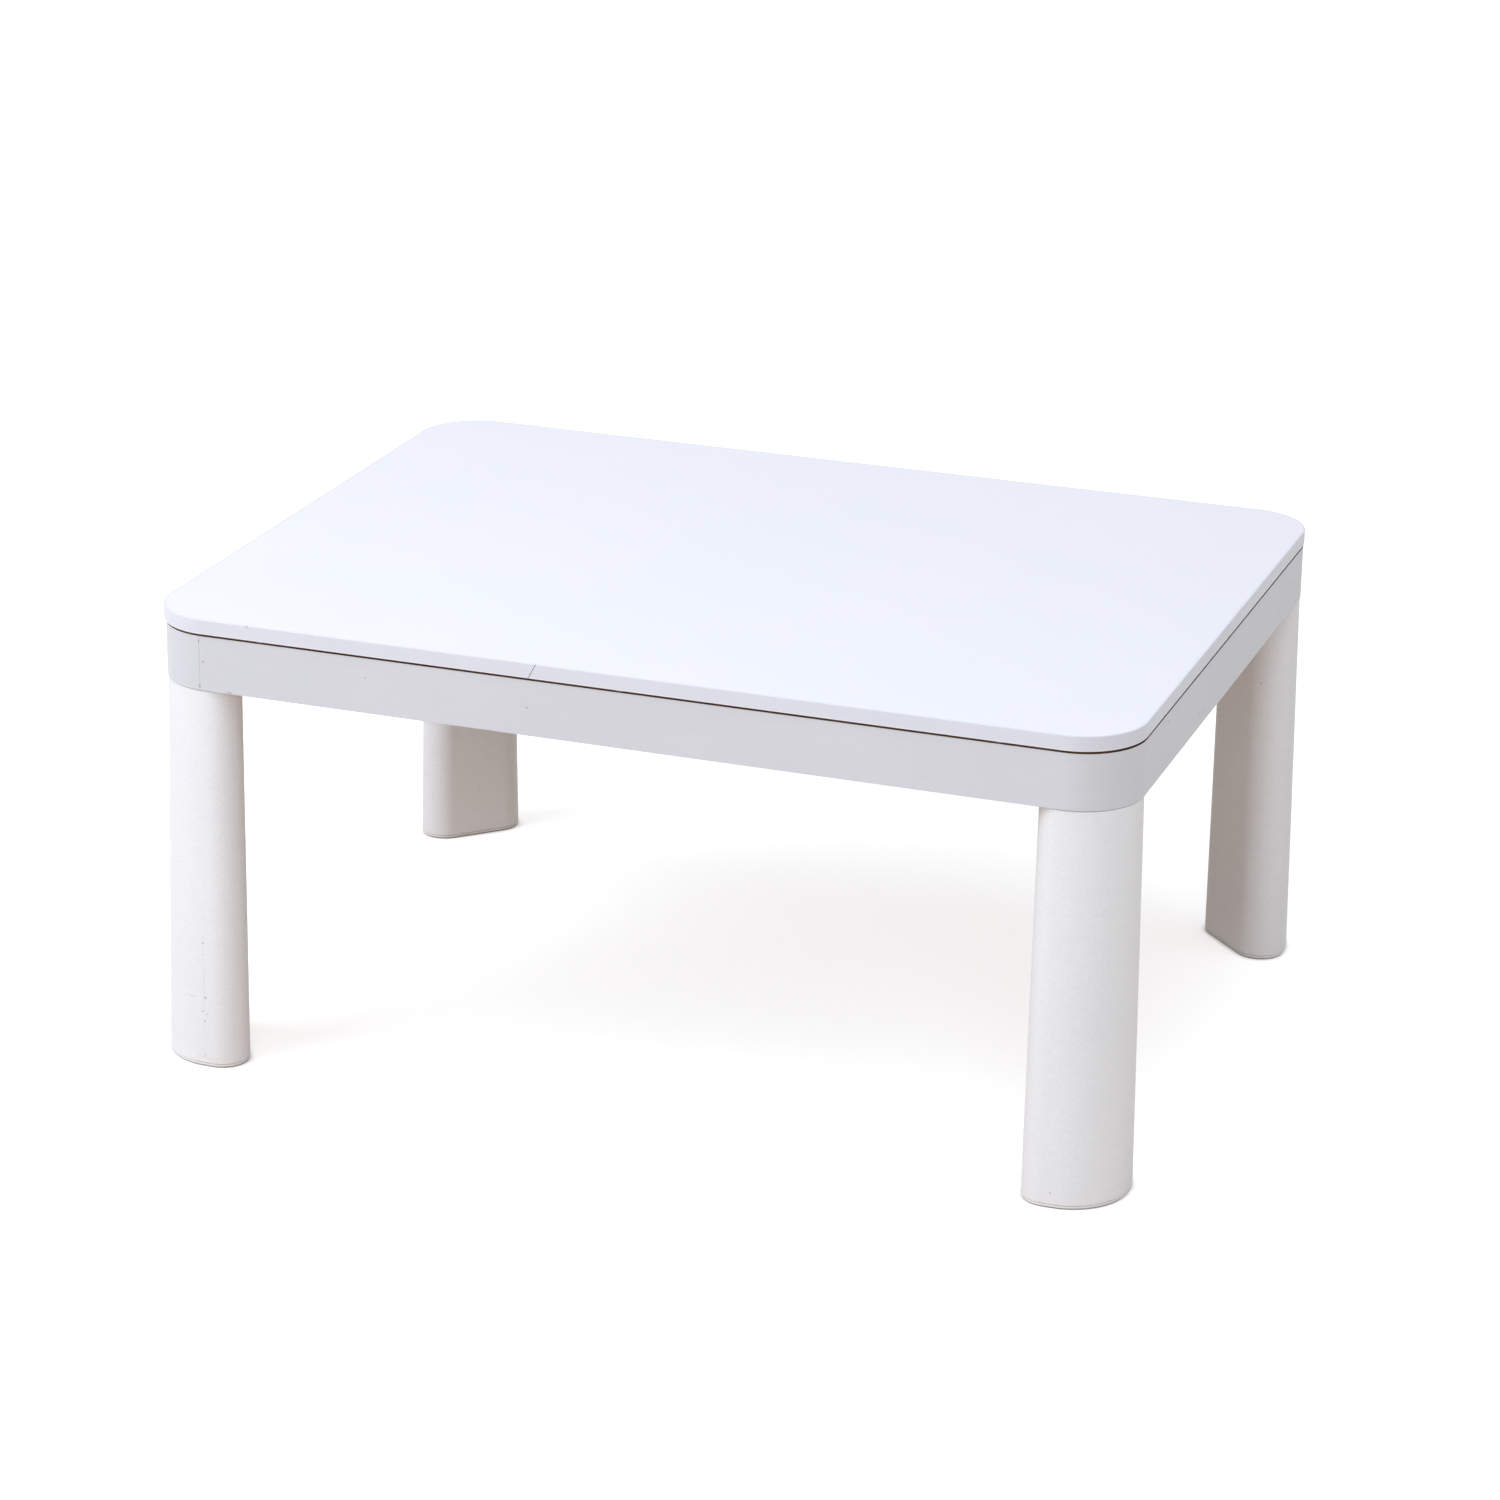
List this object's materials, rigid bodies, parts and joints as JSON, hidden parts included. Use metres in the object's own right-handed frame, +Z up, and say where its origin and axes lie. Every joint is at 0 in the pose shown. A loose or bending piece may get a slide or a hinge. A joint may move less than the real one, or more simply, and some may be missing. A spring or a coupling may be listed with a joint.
{
  "type": "kotatsu table",
  "caption": "Low heated table with rounded corners: loose white board on a ring frame, stout splayed corner legs, heater in a caged bay underneath.",
  "frame": {"origin": "on the floor, under the middle of the table", "axes": "+X along the long side, to the right when seen from the front; +Y from the front side to the back side; +Z up"},
  "size_m": [0.807, 0.607, 0.38],
  "materials": {
    "board_laminate": "satin white melamine laminate",
    "board_edge": "satin white edge band",
    "board_core": "raw medium density fibreboard",
    "under_laminate": "matte white backing laminate",
    "apron_wrap": "satin white wrap",
    "frame_wood": "planed light wood",
    "dowel_wood": "beech",
    "rest_felt": "pressed felt",
    "leg_plastic": "white moulded plastic with a fine grain",
    "foot_plastic": "off-white moulded plastic",
    "foot_felt": "dark felt",
    "plated_steel": "zinc plated",
    "insert_brass": "machined brass",
    "wing_nut_zinc": "cast and zinc plated",
    "case_enamel": "dark heat-proof enamel",
    "sheet_steel": "bare sheet steel",
    "mineral_board": "pressed mineral board",
    "bright_aluminium": "bright rolled sheet",
    "holder_ceramic": "unglazed white ceramic",
    "quartz_glass": "clear quartz",
    "coil_wire": "oxidised resistance wire",
    "guard_chrome": "bright plated wire",
    "inlet_plastic": "black heat-proof plastic",
    "pin_brass": "bright brass",
    "lead_braid": "glass braid"
  },
  "bodies": {
    "frame": {"apron_skin": "apron_wrap", "rail_front": "frame_wood", "rail_back": "frame_wood", "rail_left": "frame_wood", "rail_right": "frame_wood", "rest_pads": "rest_felt", "heater_bar_left": "frame_wood", "heater_bar_right": "frame_wood", "bay_piece_front": "frame_wood", "bay_piece_back": "frame_wood", "frame_dowels": "dowel_wood", "corner_bend_front_left": "frame_wood", "corner_bend_front_right": "frame_wood", "corner_bend_back_right": "frame_wood", "corner_bend_back_left": "frame_wood", "corner_block_front_left": "frame_wood", "corner_block_front_right": "frame_wood", "corner_block_back_right": "frame_wood", "corner_block_back_left": "frame_wood", "block_screws": "plated_steel", "leg_front_left": "leg_plastic", "leg_front_right": "leg_plastic", "leg_back_right": "leg_plastic", "leg_back_left": "leg_plastic", "foot_cap_front_left": "foot_plastic", "foot_cap_front_right": "foot_plastic", "foot_cap_back_right": "foot_plastic", "foot_cap_back_left": "foot_plastic", "foot_pads": "foot_felt", "leg_studs": "plated_steel", "leg_inserts": "insert_brass", "leg_washers": "plated_steel", "heater_case": "case_enamel", "heat_shield": "mineral_board", "heater_partition": "sheet_steel", "reflector": "bright_aluminium", "tube_holders": "holder_ceramic", "quartz_tube_front": "quartz_glass", "quartz_tube_back": "quartz_glass", "heating_coil_front": "coil_wire", "heating_coil_back": "coil_wire", "heater_guard": "guard_chrome", "guard_clips": "sheet_steel", "terminal_cover": "case_enamel", "inlet_socket": "inlet_plastic", "inlet_pins": "pin_brass", "terminal_block": "holder_ceramic", "thermostat": "inlet_plastic", "thermal_fuse": "sheet_steel", "heater_leads": "lead_braid", "heater_screws": "plated_steel"},
    "top_board": {"top_edge_band": "board_edge", "top_upper_laminate": "board_laminate", "top_core": "board_core", "top_under_laminate": "under_laminate"},
    "wing_nut_front_left": {"wing_nut_front_left": "wing_nut_zinc"},
    "wing_nut_front_right": {"wing_nut_front_right": "wing_nut_zinc"},
    "wing_nut_back_right": {"wing_nut_back_right": "wing_nut_zinc"},
    "wing_nut_back_left": {"wing_nut_back_left": "wing_nut_zinc"}
  },
  "joints": [
    {"name": "top_lift", "type": "slide", "parent": "frame", "child": "top_board", "axis": [0, 0, 1], "range_m": [0, 0.1]},
    {"name": "wing_nut_front_left_turn", "type": "hinge", "parent": "frame", "child": "wing_nut_front_left", "pos_m": [-0.3575, -0.2575, 0.3428], "axis": [0, 0, 1], "continuous": true},
    {"name": "wing_nut_front_right_turn", "type": "hinge", "parent": "frame", "child": "wing_nut_front_right", "pos_m": [0.3575, -0.2575, 0.3428], "axis": [0, 0, 1], "continuous": true},
    {"name": "wing_nut_back_right_turn", "type": "hinge", "parent": "frame", "child": "wing_nut_back_right", "pos_m": [0.3575, 0.2575, 0.3428], "axis": [0, 0, 1], "continuous": true},
    {"name": "wing_nut_back_left_turn", "type": "hinge", "parent": "frame", "child": "wing_nut_back_left", "pos_m": [-0.3575, 0.2575, 0.3428], "axis": [0, 0, 1], "continuous": true}
  ]
}
